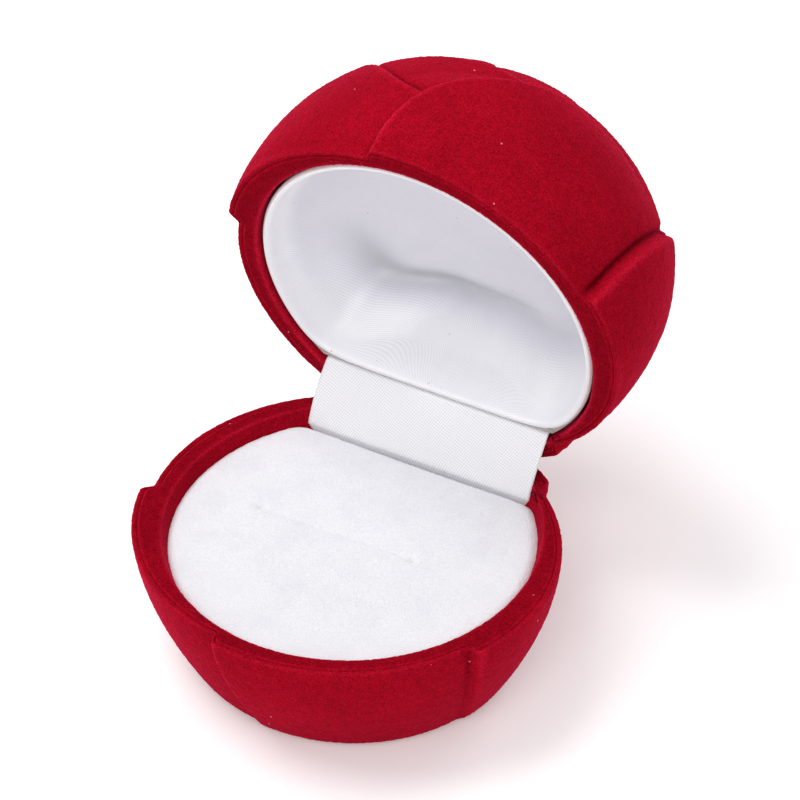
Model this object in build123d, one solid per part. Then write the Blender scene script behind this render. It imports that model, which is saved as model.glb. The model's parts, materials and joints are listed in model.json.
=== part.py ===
from build123d import *
import os
from math import cos, hypot, pi, radians, sin

os.makedirs("parts", exist_ok=True)

# Driving dimensions of a rose ring box, in millimetres and degrees. The origin is the centre of
# the foot, the lid hinges at the rear (+Y), and the lid stands open at rest.
rim_half_width = 26.0          # X half width of the rim
rim_half_depth = 24.25         # Y half depth of the rim
seam_z = 17.33                 # height of the parting line between bowl and lid
seam_gap = 0.2                 # gap between the closed rims
open_angle = 82.0              # how far the lid stands open
hinge_y = 21.72                # hinge axis, on the seam at the rear
cavity_radius = 22.7           # inside radius at the rims
cavity_y = 0.8                 # centre of the round cavities, a little behind the foot's
rear_wall = 2.2                # thickness of the straight rear wall
overcut = 1.0                  # how far cutting bodies run past the surface they open
wide = 200.0                   # a length past the whole part
relief_margin = 1.0            # extra degrees cut off each rear edge
foot_taper = 0.24              # how much narrower the foot is than the rim
foot_curve = 1.65              # how late the wall curves in towards the foot
foot_rounding = ((0.0, 0.045), (0.35, 0.014), (1.1, 0.0))   # (height, share drawn in) at the foot
wall_levels = (5.0, 9.0, 13.0) # heights at which the bowl's wall is set out
foot_floor = 3.6               # thickness of the bowl's floor
floor_radius = 18.2            # inside radius at the floor
lid_height = 30.4              # height of the rose above the seam

# Outer petals: where each one laps over its neighbour, and how far it stands proud there.
petal_laps = (48.0, 118.0, 188.0, 257.0, 334.0)
lap_proud = 1.03
lap_sunk = 0.972
lap_curve = 1.3                # how late a petal sinks under the next one
points_per_petal = 6

# Lid profile: (height above the seam, share of the rim's radius).
lid_profile = ((0.1, 0.985), (5.0, 1.02), (10.0, 1.0), (15.0, 0.945), (19.0, 0.86), (20.5, 0.78))
second_laps = (20.0, 135.0, 218.0, 284.0)
second_proud = 1.06
second_sunk = 0.97
second_profile = ((13.0, 0.90), (17.0, 0.84), (21.0, 0.74), (24.5, 0.58), (26.5, 0.46))
lid_cavity = ((22.9, 5.0), (22.4, 11.0), (19.8, 16.5), (15.8, 20.8), (10.6, 24.2), (0.0, 26.8))
lid_cavity_rear = 21.6         # how far back the lid's hollow reaches above the hinge
inner_ring_radius = 12.6
inner_ring_base = 20.0         # height above the seam from which the inner ring rises
inner_ring_drop = 1.4          # how far the inner ring stays below the bud's top
inner_ring_lean = 2.2          # how far the inner ring leans in at its top
moat_floor = 26.2              # height of the hollow between the bud and the inner ring
moat_depth = 5.0
moat_flare = 2.6               # thickness of the inner ring above the hollow
bud_radius = 7.5
spiral_turns = 1.5
spiral_start = 100.0           # angle at which the bud's spiral groove starts
spiral_radii = (1.4, 6.0)      # where the groove starts and ends
spiral_width = 0.7
spiral_depth = 2.6

# Hinge
knuckle_radius = 1.2
pin_radius = 0.6
pin_clearance = 0.05
leaf_thickness = 0.4
leaf_half_width = 8.0
leaf_drop = 5.0                # how far each leaf reaches from the knuckles
notch_half_width = 8.5
notch_depth = 1.7
pocket_depth = 7.0             # room for the leaf behind the pad or lining
pocket_reach = 3.0             # how far the pocket comes forward of the wall
flange_gap = 0.25              # gap between the flange's rear and the knuckles' round
rivet_x = 5.6
rivet_drop = 3.2
rivet_radius = 0.6
rivet_head_radius = 1.0
rivet_head = 0.35
rivet_shank = 1.5

# Pad
pad_clearance = 0.35
card_thickness = 1.0
velvet_thickness = 0.6
pad_top = seam_z - 0.9
pad_rear_y = 16.6
slit_length = 21.0
slit_width = 0.6
slit_depth = 9.0
skirt_drop = 4.0               # how far above the card the velvet's skirt ends
pad_chamfer = 0.7

# Lid lining: each layer's rim radius, rear plane and height above the seam.
lining_cup = (22.4, 16.7, 20.5)
lining_wadding = (21.8, 16.1, 19.9)
lining_satin = (20.8, 15.3, 18.9)
satin_thickness = 0.45
satin_edge = 0.55              # how far the lining's edge sits above the lid's rim plane
lining_dome = ((1.0, 0.26), (0.93, 0.50), (0.72, 0.82), (0.40, 0.96), (0.0, 1.0))

# Knuckles along X, on the bowl's leaf and on the lid's
base_knuckles = ((-8.0, -5.2), (-1.5, 1.5), (5.2, 8.0))
lid_knuckles = ((-5.0, -1.7), (1.7, 5.0))

# Ribbon and spring
ribbon_half_width = 13.4
ribbon_thickness = 0.3
ribbon_y = 17.0
ribbon_exit = 1.5              # distance of each ribbon exit from the seam plane
ribbon_tuck = 2.5              # length hidden at each end
ribbon_bulge = 0.5             # how far the ribbon bows forward
spring_half_width = 3.2
spring_thickness = 0.25
spring_reach = 1.95            # how far behind the hinge axis the spring passes
spring_line = ((18.45, -5.6), (18.42, -2.6), (18.85, -0.5))  # (y, height over the seam), bowl side

hinge_axis = Axis((0, hinge_y, seam_z), (1, 0, 0))
wall_inner_y = hinge_y - rear_wall
leaf_y = wall_inner_y - leaf_thickness


def rim_radius(angle):
    """Radius of the plain rim ellipse at an angle from +X."""
    across = rim_half_depth * cos(radians(angle))
    along = rim_half_width * sin(radians(angle))
    return rim_half_width * rim_half_depth / hypot(across, along)


def petal_outline(laps, share, z, proud=lap_proud, sunk=lap_sunk):
    """Face bounded by overlapping petals: each runs inwards until the next one steps out over it."""
    arcs = []
    for start, end in zip(laps, laps[1:] + (laps[0] + 360.0,)):
        points = []
        for i in range(points_per_petal):
            u = i / (points_per_petal - 1)
            angle = start + (end - start) * u
            radius = share * rim_radius(angle) * (proud - (proud - sunk) * u ** lap_curve)
            points.append((radius * cos(radians(angle)), radius * sin(radians(angle)), z))
        arcs.append(points)
    edges = []
    for points, following in zip(arcs, arcs[1:] + arcs[:1]):
        edges.append(Edge.make_spline([Vector(*p) for p in points]))
        edges.append(Edge.make_line(Vector(*points[-1]), Vector(*following[0])))
    return Face(Wire(edges))


def rear_half_space(y):
    """Block that holds everything behind a plane Y = y."""
    return Pos(0, y + wide / 2, seam_z) * Box(wide, wide, wide)


def hinge_relief(side):
    """Wedge cut off the rear edge, so that bowl and lid clear each other about the hinge axis.
    side is -1 for the bowl and +1 for the lid."""
    slope = radians(90 - open_angle / 2 - relief_margin)
    far = rim_half_depth / 2
    with BuildPart() as wedge:
        with BuildSketch(Plane.YZ.offset(-wide / 2)):
            with BuildLine():
                Polyline(
                    (hinge_y, seam_z),
                    (hinge_y + far * sin(slope), seam_z + side * far * cos(slope)),
                    (hinge_y + far, seam_z + side * 0.001),
                    close=True,
                )
            make_face()
        extrude(amount=wide)
    return wedge.part


def hinge_notch(side):
    """Room in a rear wall for the knuckles and the leaf's flange."""
    inner_y = wall_inner_y - overcut
    outer_y = rim_half_depth + pocket_reach
    middle = (inner_y + outer_y) / 2
    notch = Pos(0, middle, seam_z + side * notch_depth / 2) * Box(
        2 * notch_half_width, outer_y - inner_y, notch_depth
    )
    return notch


def turned(bottom, outline, base_z, rear_y):
    """Solid turned about the cavity's axis and cut straight at the rear: a straight wall from the
    bottom height up to the first (radius, height) point, then a dome through the rest."""
    with BuildPart() as body:
        with BuildSketch(Plane.XZ):
            with BuildLine():
                radius = outline[0][0]
                Line((0, bottom), (radius, bottom))
                Line((radius, bottom), outline[0])
                Spline(*outline, tangents=((0, 1), (-1, 0)))
                Line(outline[-1], (0, bottom))
            make_face()
        revolve(axis=Axis.Z)
    return Pos(0, cavity_y, base_z) * body.part - rear_half_space(rear_y)


def open_lid(part):
    """Swing a piece of the lid from its closed place to the open rest pose."""
    return part.rotate(hinge_axis, -open_angle)


def hinge_pocket(side):
    """Square pocket in front of a rear wall that holds the hinge's leaf."""
    front_y = wall_inner_y - pocket_reach
    return Pos(0, (front_y + wall_inner_y) / 2, seam_z + side * pocket_depth / 2) * Box(
        2 * notch_half_width, wall_inner_y - front_y, pocket_depth
    )


# ---------------------------------------------------------------- base
def make_base_shell():
    top = seam_z - seam_gap / 2
    levels = (*foot_rounding, *((z, 0.0) for z in wall_levels), (top, 0.0))
    sections = []
    for z, rounding in levels:
        share = 1 - foot_taper * max(0.0, 1 - z / seam_z) ** foot_curve - rounding
        sections.append(petal_outline(petal_laps, share, z))
    shell = loft(sections)
    shell = shell - bowl_space(0.0, foot_floor, seam_z, wall_inner_y) - hinge_pocket(-1)
    return shell - hinge_relief(-1) - hinge_notch(-1)


def bowl_radius(z):
    """Inside radius of the bowl at a height."""
    share = (z - foot_floor) / (seam_z - foot_floor)
    return floor_radius + (cavity_radius - floor_radius) * share


def bowl_space(inset, low_z, high_z, rear_y):
    """Tapered space inside the bowl between two heights, drawn in by an inset all round."""
    height = high_z - low_z
    cone = Cone(bowl_radius(low_z) - inset, bowl_radius(high_z) - inset, height)
    return Pos(0, cavity_y, low_z + height / 2) * cone - rear_half_space(rear_y)


def ring_slit(depth):
    """Narrow slot across the middle of the pad."""
    middle_z = pad_top - depth / 2 + overcut
    return Pos(0, 0, middle_z) * Box(slit_length, slit_width, depth + 2 * overcut)


def make_pad():
    card_top = foot_floor + card_thickness
    skirt_z = card_top + skirt_drop
    core_top = pad_top - velvet_thickness
    core_inset = pad_clearance + velvet_thickness
    core_rear = pad_rear_y - velvet_thickness
    card = bowl_space(core_inset, foot_floor, card_top, core_rear)
    cover = bowl_space(pad_clearance, skirt_z, pad_top, pad_rear_y)
    cover = chamfer(cover.faces().sort_by(Axis.Z)[-1].edges(), pad_chamfer)
    core = bowl_space(core_inset, card_top, core_top, core_rear)
    slit = ring_slit(slit_depth)
    return card, core - slit, cover - core - slit


# ---------------------------------------------------------------- lid, drawn closed
def lid_loft(laps, profile, proud, sunk):
    sections = [
        petal_outline(laps, share, seam_z + height, proud, sunk) for height, share in profile
    ]
    return loft(sections)


def make_lid_shell():
    outer = lid_loft(petal_laps, lid_profile, lap_proud, lap_sunk)
    second = lid_loft(second_laps, second_profile, second_proud, second_sunk)
    ring_height = lid_height - inner_ring_drop - inner_ring_base
    inner_ring = Pos(0, 0, seam_z + inner_ring_base + ring_height / 2) * Cone(
        inner_ring_radius, inner_ring_radius - inner_ring_lean, ring_height
    )
    groove = Pos(0, 0, seam_z + moat_floor + moat_depth / 2) * Cone(
        bud_radius, inner_ring_radius - moat_flare, moat_depth
    )
    bud = Pos(0, 0, seam_z + lid_height - bud_radius) * Sphere(bud_radius)
    rose = outer + second + inner_ring - groove + bud - bud_spiral()
    cavity = turned(-overcut, lid_cavity, seam_z, lid_cavity_rear)
    wall_depth = pocket_depth + overcut
    hinge_wall = Pos(0, wall_inner_y + wide / 2, seam_z + wall_depth / 2 - overcut) * Box(
        wide, wide, wall_depth
    )
    rose = rose - (cavity - hinge_wall) - hinge_pocket(1)
    return rose - hinge_relief(1) - hinge_notch(1)


def bud_spiral():
    """Spiral groove between the folded petals of the bud."""
    count = 16
    start_radius, end_radius = spiral_radii
    inner, outer = [], []
    for i in range(count):
        t = i / (count - 1)
        angle = radians(spiral_start) + t * spiral_turns * 2 * pi
        radius = start_radius + (end_radius - start_radius) * t
        half = spiral_width / 2 * (0.5 + 0.5 * t)
        inner.append(((radius - half) * cos(angle), (radius - half) * sin(angle)))
        outer.append(((radius + half) * cos(angle), (radius + half) * sin(angle)))
    with BuildPart() as groove_part:
        with BuildSketch(Plane.XY.offset(seam_z + lid_height - spiral_depth)):
            with BuildLine():
                Spline(*inner)
                Line(inner[-1], outer[-1])
                Spline(*outer[::-1])
                Line(outer[0], inner[0])
            make_face()
        extrude(amount=2 * spiral_depth)
    return groove_part.part


def lining_layer(layer, bottom, shrink=0.0):
    """Domed solid with a straight rear, standing above the seam: one layer of the lining."""
    radius, rear_y, height = layer[0] - shrink, layer[1] - shrink, layer[2] - shrink
    outline = [(across * radius, up * height) for across, up in lining_dome]
    return turned(bottom, outline, seam_z, rear_y)


def make_lining():
    edge = satin_edge + satin_thickness
    below = satin_edge - overcut / 2
    cup = lining_layer(lining_cup, edge) - lining_layer(lining_wadding, below)
    wadding = lining_layer(lining_wadding, edge) - lining_layer(lining_satin, below)
    brim = Pos(0, cavity_y, seam_z + satin_edge + satin_thickness / 2) * Cylinder(
        lining_cup[0], satin_thickness
    )
    brim = brim - rear_half_space(lining_cup[1])
    satin = lining_layer(lining_satin, satin_edge) + brim
    satin = satin - lining_layer(lining_satin, below, satin_thickness)
    return cup, wadding, satin


# ---------------------------------------------------------------- hinge
def make_leaf(side, spans, bore_radius):
    """Leaf with a vertical plate, a flange in the rim notch and rolled knuckles on the axis."""
    flange_inner_z = seam_z + side * (knuckle_radius - leaf_thickness)
    flange_outer_z = seam_z + side * knuckle_radius
    plate_end_z = flange_outer_z + side * leaf_drop
    plate = Pos(0, leaf_y + leaf_thickness / 2, (flange_inner_z + plate_end_z) / 2) * Box(
        2 * leaf_half_width, leaf_thickness, abs(plate_end_z - flange_inner_z)
    )
    flange_rear = hinge_y - knuckle_radius - flange_gap
    flange = Pos(0, (leaf_y + flange_rear) / 2, (flange_inner_z + flange_outer_z) / 2) * Box(
        2 * leaf_half_width, flange_rear - leaf_y, leaf_thickness
    )
    leaf = plate + flange
    for low, high in spans:
        middle = (low + high) / 2
        length = high - low
        finger = Pos(middle, (flange_rear + hinge_y) / 2, (flange_inner_z + flange_outer_z) / 2) * Box(
            length, hinge_y - flange_rear, leaf_thickness
        )
        knuckle = Pos(middle, hinge_y, seam_z) * Rot(0, 90, 0) * Cylinder(knuckle_radius, length)
        leaf = leaf + finger + knuckle
    bore = Pos(0, hinge_y, seam_z) * Rot(0, 90, 0) * Cylinder(bore_radius, wide)
    leaf = leaf - bore
    for x in (-rivet_x, rivet_x):
        rivet_z = flange_outer_z + side * rivet_drop
        hole = Pos(x, leaf_y + leaf_thickness / 2, rivet_z) * Rot(90, 0, 0) * Cylinder(
            rivet_radius, 4 * leaf_thickness
        )
        leaf = leaf - hole
    return leaf


def make_rivets(side):
    """Two rivets through the leaf into the rear wall."""
    rivets = []
    for x in (-rivet_x, rivet_x):
        z = seam_z + side * (knuckle_radius + rivet_drop)
        shank_length = leaf_thickness + rivet_shank
        shank = Pos(x, leaf_y + shank_length / 2, z) * Rot(90, 0, 0) * Cylinder(
            rivet_radius, shank_length
        )
        head = Pos(x, leaf_y - rivet_head / 2, z) * Rot(90, 0, 0) * Cylinder(
            rivet_head_radius, rivet_head
        )
        rivets.append(shank + head)
    return rivets


def rivet_holes(side):
    """Blind holes in the rear wall for the rivets."""
    holes = []
    for x in (-rivet_x, rivet_x):
        z = seam_z + side * (knuckle_radius + rivet_drop)
        depth = rivet_shank + overcut
        middle = wall_inner_y - overcut + depth / 2
        holes.append(Pos(x, middle, z) * Rot(90, 0, 0) * Cylinder(rivet_radius, depth))
    return holes


# ---------------------------------------------------------------- ribbon and spring
def swing(point):
    """Where a (y, z) point of the closed lid goes when the lid stands open."""
    y, z = point[0] - hinge_y, point[1] - seam_z
    angle = -radians(open_angle)
    return (
        hinge_y + y * cos(angle) - z * sin(angle),
        seam_z + y * sin(angle) + z * cos(angle),
    )


def strip(points, thickness, half_width, tangents=None):
    """Thin strip that follows a smooth line in the YZ plane."""
    middle = Edge.make_spline([Vector(0, y, z) for y, z in points], tangents)
    sides = ([], [])
    count = 3 * len(points)
    for i in range(count):
        place = middle.position_at(i / (count - 1))
        along = middle.tangent_at(i / (count - 1))
        normal = Vector(0, -along.Z, along.Y) * (thickness / 2)
        sides[0].append(place + normal)
        sides[1].append(place - normal)
    edges = [
        Edge.make_spline(sides[0]),
        Edge.make_line(sides[0][-1], sides[1][-1]),
        Edge.make_spline(sides[1][::-1]),
        Edge.make_line(sides[1][0], sides[0][0]),
    ]
    face = Face(Wire(edges))
    return Pos(-half_width, 0, 0) * extrude(face, 2 * half_width, dir=(1, 0, 0))


def make_ribbon():
    base_exit = (ribbon_y, seam_z - ribbon_exit)
    lid_exit = swing((ribbon_y, seam_z + ribbon_exit))
    middle = (
        (base_exit[0] + lid_exit[0]) / 2 - ribbon_bulge,
        (base_exit[1] + lid_exit[1]) / 2 + ribbon_bulge,
    )
    points = [
        (ribbon_y, seam_z - ribbon_exit - ribbon_tuck),
        (ribbon_y, seam_z - ribbon_exit - ribbon_tuck / 2),
        base_exit,
        middle,
        lid_exit,
        swing((ribbon_y, seam_z + ribbon_exit + ribbon_tuck / 2)),
        swing((ribbon_y, seam_z + ribbon_exit + ribbon_tuck)),
    ]
    return strip(points, ribbon_thickness, ribbon_half_width)


def make_spring():
    bisector = radians(180 - open_angle / 2)
    lower = [(y, seam_z + up) for y, up in spring_line]
    middle = (hinge_y + spring_reach * cos(bisector), seam_z + spring_reach * sin(bisector))
    upper = [swing((y, 2 * seam_z - z)) for y, z in lower[::-1]]
    return strip([*lower, middle, *upper], spring_thickness, spring_half_width)


# ---------------------------------------------------------------- build and write
pad_card, pad_foam, pad_velvet = make_pad()
lid_card_cup, lid_wadding, lid_satin = make_lining()
lid_shell = make_lid_shell()
base_shell = make_base_shell()
for hole in rivet_holes(-1):
    base_shell = base_shell - hole
for hole in rivet_holes(1):
    lid_shell = lid_shell - hole

nodes = {
    "base_shell": base_shell,
    "pad_card": pad_card,
    "pad_foam": pad_foam,
    "pad_velvet": pad_velvet,
    "base_hinge_leaf": make_leaf(-1, base_knuckles, pin_radius),
    "base_hinge_rivets": Compound(children=make_rivets(-1)),
    "hinge_pin": Pos(0, hinge_y, seam_z) * Rot(0, 90, 0) * Cylinder(pin_radius, 2 * leaf_half_width),
    "snap_spring": make_spring(),
    "hinge_ribbon": make_ribbon(),
    "lid_shell": open_lid(lid_shell),
    "lid_card_cup": open_lid(lid_card_cup),
    "lid_wadding": open_lid(lid_wadding),
    "lid_satin": open_lid(lid_satin),
    "lid_hinge_leaf": open_lid(make_leaf(1, lid_knuckles, pin_radius + pin_clearance)),
    "lid_hinge_rivets": open_lid(Compound(children=make_rivets(1))),
}
for name, shape in nodes.items():
    export_step(shape, f"parts/{name}.step")
    print(name, round(shape.volume, 1), len(shape.solids()))
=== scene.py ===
"""Flocked rose ring box, standing open: petalled bowl, rose lid, satin lining, ribbon and pad."""

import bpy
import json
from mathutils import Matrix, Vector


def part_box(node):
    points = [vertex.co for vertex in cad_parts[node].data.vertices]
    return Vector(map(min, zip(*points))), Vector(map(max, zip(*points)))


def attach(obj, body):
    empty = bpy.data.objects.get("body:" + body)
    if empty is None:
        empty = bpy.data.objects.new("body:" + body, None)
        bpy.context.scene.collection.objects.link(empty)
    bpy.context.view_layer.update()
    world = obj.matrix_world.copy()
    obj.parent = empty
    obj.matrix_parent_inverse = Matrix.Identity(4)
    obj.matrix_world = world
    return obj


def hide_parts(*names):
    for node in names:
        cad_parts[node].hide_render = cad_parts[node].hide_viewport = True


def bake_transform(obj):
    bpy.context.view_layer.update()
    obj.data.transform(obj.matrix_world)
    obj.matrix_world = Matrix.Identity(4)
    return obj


bl_info = {
    "name": "Rose ring box",
    "version": (1, 0, 0),
    "blender": (4, 5, 0),
    "location": "View3D > Sidebar > Rose box",
    "description": "Builds a flocked rose ring box around its packed frame",
    "category": "Object",
}

import json
import math

import bpy
import numpy as np
from bpy.props import FloatProperty, FloatVectorProperty, PointerProperty
from mathutils import Vector

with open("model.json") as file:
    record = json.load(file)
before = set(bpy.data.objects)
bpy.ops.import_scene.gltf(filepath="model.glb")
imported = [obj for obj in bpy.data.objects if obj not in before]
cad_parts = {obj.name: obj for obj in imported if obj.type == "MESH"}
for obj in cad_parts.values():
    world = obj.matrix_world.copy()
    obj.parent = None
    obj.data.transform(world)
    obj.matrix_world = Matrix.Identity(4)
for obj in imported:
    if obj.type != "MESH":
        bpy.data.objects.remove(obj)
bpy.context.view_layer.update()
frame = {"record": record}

# ------------------------------------------------------------------ places read from the frame
MM = 0.001
HINGE = next(j for j in frame["record"]["behaviour"]["joints"] if j["name"] == "lid_hinge")
HINGE_Y, SEAM_Z = HINGE["pos_m"][1], HINGE["pos_m"][2]
OPEN_ANGLE = math.radians(HINGE["range_deg"][1])
PAD_LOW, PAD_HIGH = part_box("pad_velvet")

# Angles, in degrees from +X, at which each outer petal laps over the one before it.
LAPS = (48.0, 118.0, 189.0, 258.0, 334.5)
LAP_PROUD = 0.030          # share of the radius by which a petal stands out at its lapping edge
LAP_SUNK = 0.028           # and by which it has sunk in where the next one covers it
LAP_CURVE = 1.3            # how late it sinks
LAP_EDGE = 1.3             # degrees over which the lapping edge is rounded by its flock

# The rose's mean profile: heights above the seam and radii, in metres, from rim to crown.
DOME_HEIGHTS = np.array([0.0, 5.0, 10.0, 15.0, 20.0, 24.0, 27.0, 29.3, 30.3]) * MM
DOME_RADII = np.array([25.3, 25.9, 25.8, 24.8, 22.4, 18.7, 14.1, 8.0, 0.0]) * MM


def smoothstep(low, high, x):
    t = np.clip((x - low) / (high - low), 0.0, 1.0)
    return t * t * (3.0 - 2.0 * t)


def smooth_line(points, per_span):
    """Points along a Catmull-Rom curve through given points."""
    p = np.asarray(points, float)
    ends = np.vstack([2 * p[:1] - p[1:2], p, 2 * p[-1:] - p[-2:-1]])
    t = np.linspace(0, 1, per_span, endpoint=False)[:, None]
    out = []
    for a, b, c, d in zip(ends, ends[1:], ends[2:], ends[3:]):
        out.append(
            0.5 * (2 * b + (c - a) * t + (2 * a - 5 * b + 4 * c - d) * t**2 + (3 * b - 3 * c + d - a) * t**3)
        )
    out.append(p[-1:])
    return np.vstack(out)


class Profile:
    """Smooth line through (height, radius) points, measured by the distance along it."""

    def __init__(self, heights, radii):
        line = smooth_line(np.c_[heights, radii], 24)
        steps = np.hypot(*np.diff(line, axis=0).T)
        self.s = np.r_[0, np.cumsum(steps)]
        self.line = line
        self.length = self.s[-1]

    def at(self, s):
        return np.interp(s, self.s, self.line[:, 0]), np.interp(s, self.s, self.line[:, 1])


DOME = Profile(DOME_HEIGHTS, DOME_RADII)


def sizes():
    return bpy.context.scene.rose_box_sizes


def finishes():
    return bpy.context.scene.rose_box_finishes


def rim_ellipse(theta):
    """Plain rim radius at an angle, before the petals."""
    a, b = sizes().rim_half_width, sizes().rim_half_depth
    return a * b / np.hypot(b * np.cos(theta), a * np.sin(theta))


def lap_factor(theta, turn=0.0, edge_deg=LAP_EDGE):
    """How far the outer petals stand in or out, as a factor on the radius."""
    angle = (np.degrees(theta) - turn) % 360.0
    factor = np.zeros_like(angle)
    for start, end in zip(LAPS, LAPS[1:] + (LAPS[0] + 360.0,)):
        u = ((angle - start) % 360.0) / (end - start)
        covered = u < 1.0
        factor[covered] = (1 + LAP_PROUD - (LAP_PROUD + LAP_SUNK) * u**LAP_CURVE)[covered]
    for start in LAPS:
        away = (angle - start + 180.0) % 360.0 - 180.0
        near = np.abs(away) < edge_deg
        blend = smoothstep(-edge_deg, edge_deg, away)
        stepped = (1 - LAP_SUNK) * (1 - blend) + (1 + LAP_PROUD) * blend
        factor[near] = stepped[near]
    return factor


def straight_cut(theta, rear_y, least_sine):
    """Radius at which each angle meets the plane Y = rear_y, or a metre where it faces forward."""
    sine = np.sin(theta)
    return np.where(sine > least_sine, rear_y / np.maximum(sine, least_sine), 1.0)


def opening_radius(theta):
    """Radius of the round opening inside the rim, cut straight across at the rear wall."""
    radius, centre_y = sizes().opening_radius, sizes().opening_centre_y
    plain = centre_y * np.sin(theta) + np.sqrt(radius**2 - (centre_y * np.cos(theta)) ** 2)
    wall_y = HINGE_Y - sizes().rear_wall
    return np.minimum(plain, straight_cut(theta, wall_y, 0.2))


# ------------------------------------------------------------------ mesh helpers
LAND_REACH = 0.8 * MM      # how far from the rim plane the land is darkened
LAND_FOLD_DEPTH = -2.3     # and to what fold depth in millimetres
CREST_SCALE = 0.4 * MM     # how far a point has to stand out for the full painted highlight
FLOCK_NUDGE = 0.022 * MM   # standard deviation of the red pile's height
CLOTH_THICKNESS = 0.22 * MM
WEAVE_MAP = "weave"
NUDGE_LIMIT = 2.5          # most that a clump of pile stands out, in standard deviations


def clear_selection():
    if bpy.context.object and bpy.context.object.mode != "OBJECT":
        bpy.ops.object.mode_set(mode="OBJECT")
    bpy.ops.object.select_all(action="DESELECT")


def new_ball(name, segments, rings):
    """Closed ball of rings and segments, to be pressed into a shell. Returns the object, each
    vertex's angle and its ring number counted from the top pole."""
    clear_selection()
    bpy.ops.mesh.primitive_uv_sphere_add(segments=segments, ring_count=rings, radius=1.0)
    ball = bpy.context.object
    ball.name = name
    ball.data.name = name
    co = vertices_of(ball)
    theta = np.arctan2(co[:, 1], co[:, 0]) % (2 * np.pi)
    ring = np.rint(np.arccos(np.clip(co[:, 2], -1, 1)) / np.pi * rings).astype(int)
    return ball, theta, ring


def vertices_of(obj):
    co = np.empty(len(obj.data.vertices) * 3)
    obj.data.vertices.foreach_get("co", co)
    return co.reshape(-1, 3)


def normals_of(obj):
    normals = np.empty(len(obj.data.vertices) * 3)
    obj.data.vertices.foreach_get("normal", normals)
    return normals.reshape(-1, 3)


def move_vertices(obj, co):
    obj.data.vertices.foreach_set("co", np.asarray(co, float).ravel())
    obj.data.update()


def shade_smooth(obj):
    clear_selection()
    obj.select_set(True)
    bpy.context.view_layer.objects.active = obj
    bpy.ops.object.shade_smooth()


def apply_modifier(obj, kind, **values):
    modifier = obj.modifiers.new(kind.title(), kind)
    for key, value in values.items():
        setattr(modifier, key, value)
    bpy.context.view_layer.objects.active = obj
    bpy.ops.object.modifier_apply(modifier=modifier.name)


def edit_mesh(operator, **values):
    """Run one edit-mode operator on the whole active mesh."""
    bpy.ops.object.mode_set(mode="EDIT")
    bpy.ops.mesh.select_all(action="SELECT")
    operator(**values)
    bpy.ops.object.mode_set(mode="OBJECT")


def lay_weave(obj, plan):
    """Give a cloth its UV map: each vertex's place on the flat cloth, in metres."""
    mesh = obj.data
    uv = mesh.uv_layers.active or mesh.uv_layers.new(name="UVMap")
    uv.name = WEAVE_MAP
    loops = np.empty(len(mesh.loops), int)
    mesh.loops.foreach_get("vertex_index", loops)
    uv.data.foreach_set("uv", plan[loops].ravel())


def point_attribute(obj, name, values):
    layer = obj.data.attributes.new(name, "FLOAT", "POINT")
    layer.data.foreach_set("value", np.asarray(values, np.float32))


def neighbour_mean(obj, values, rounds):
    """Average a per-vertex value with its neighbours', a number of times."""
    edges = np.empty(len(obj.data.edges) * 2, int)
    obj.data.edges.foreach_get("vertices", edges)
    a, b = edges.reshape(-1, 2).T
    values = np.array(values, float)
    if values.ndim == 1:
        values = values[:, None]
    count = np.bincount(a, minlength=len(values)) + np.bincount(b, minlength=len(values))
    for _ in range(rounds):
        total = np.empty_like(values)
        for k in range(values.shape[1]):
            total[:, k] = np.bincount(a, values[b, k], len(values)) + np.bincount(
                b, values[a, k], len(values)
            )
        values = 0.5 * values + 0.5 * total / count[:, None]
    return values


def crest_attribute(obj, rounds=14, scale=CREST_SCALE, calm=None):
    """Store how far each point stands out from (1) or lies in (0) its surroundings, for painted highlight
    and painted shade in the flock's colour.
    """
    co = vertices_of(obj)
    proud = np.einsum("ij,ij->i", co - neighbour_mean(obj, co, rounds), normals_of(obj))
    if calm is not None:
        proud = np.where(calm, 0.0, proud)
    point_attribute(obj, "crest", 0.5 + 0.5 * np.tanh(proud / scale))


def land_shade(obj, side):
    """Fold depth that darkens the flat land of a rim. side is -1 for the bowl and +1 for the lid,
    still closed."""
    flat = smoothstep(0.80, 0.97, -side * normals_of(obj)[:, 2])
    near = np.abs(vertices_of(obj)[:, 2] - SEAM_Z) < LAND_REACH
    return LAND_FOLD_DEPTH * flat * near


def flock_roughness(obj, amount, seed, calm_radius=0.0):
    """Nudge every vertex in or out a little, as clumps of pile stand on a flocked surface. Within
    calm_radius of the vertical axis, where the mesh is dense, the nudge fades out."""
    nudge = np.random.default_rng(seed).normal(0.0, amount, len(obj.data.vertices))
    nudge = np.clip(nudge, -NUDGE_LIMIT * amount, NUDGE_LIMIT * amount)
    co = vertices_of(obj)
    if calm_radius:
        nudge *= smoothstep(0.0, calm_radius, np.hypot(co[:, 0], co[:, 1]))
    move_vertices(obj, co + normals_of(obj) * nudge[:, None])


def swing_open(co):
    """Turn closed-lid positions about the hinge to the open rest pose."""
    y, z = co[:, 1] - HINGE_Y, co[:, 2] - SEAM_Z
    c, s = math.cos(-OPEN_ANGLE), math.sin(-OPEN_ANGLE)
    return np.c_[co[:, 0], HINGE_Y + y * c - z * s, SEAM_Z + y * s + z * c]


# ------------------------------------------------------------------ the rim shared by bowl and lid
RIM_STEPS = np.array([0.0, 0.05, 0.15, 0.3, 0.46, 0.58, 0.68, 0.78, 0.9, 1.06, 1.3, 1.6]) * MM
RIM_INNER_STEPS = np.array([0.7, 0.45, 0.22, 0.08, 0.0]) * MM
RIM_ROUNDING = 0.32 * MM
GROOVE_PLACE, GROOVE_DEPTH, GROOVE_WIDTH = 0.68 * MM, 0.3 * MM, 0.14 * MM


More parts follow.
